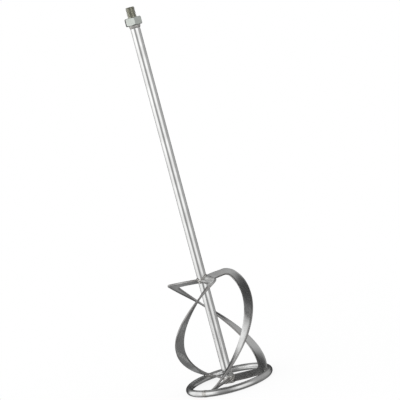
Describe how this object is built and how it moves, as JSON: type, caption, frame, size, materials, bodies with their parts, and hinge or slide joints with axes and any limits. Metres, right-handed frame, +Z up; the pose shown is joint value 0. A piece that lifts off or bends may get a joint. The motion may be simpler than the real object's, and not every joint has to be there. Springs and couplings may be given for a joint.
{
  "type": "mortar mixing paddle",
  "caption": "Steel mixing paddle: a round shaft with a hex collar and threaded stud on top, helical strip blades around it, and a round-bar ring at the bottom.",
  "frame": {"origin": "on the shaft's axis, on the floor plane under the bottom ring", "axes": "+Z up the shaft, from the bottom ring towards the threaded stud; +X points to the right in the reference view, 7 degrees from the foot of blade_1; +Y points away from the viewer"},
  "size_m": [0.139, 0.139, 0.6],
  "materials": {
    "zinc_steel": "bright zinc plate, polished, with faint brushing along the shaft and strips",
    "collar_steel": "bright zinc plate over turned and milled steel",
    "stud_steel": "darker zinc plate over a cut thread",
    "weld_steel": "plated weld metal, rippled"
  },
  "bodies": {
    "root": {"threaded_stud": "stud_steel", "hex_collar": "collar_steel", "collar_weld": "weld_steel", "shaft_tube": "zinc_steel", "shaft_end_plug": "zinc_steel", "base_ring": "zinc_steel", "ring_seam_weld": "weld_steel", "blade_1": "zinc_steel", "blade_2": "zinc_steel", "blade_3": "zinc_steel", "lower_arm_weld_1": "weld_steel", "lower_arm_weld_2": "weld_steel", "lower_arm_weld_3": "weld_steel", "upper_arm_weld_1": "weld_steel", "upper_arm_weld_2": "weld_steel", "upper_arm_weld_3": "weld_steel", "foot_weld_1": "weld_steel", "foot_weld_2": "weld_steel", "foot_weld_3": "weld_steel"}
  },
  "joints": []
}
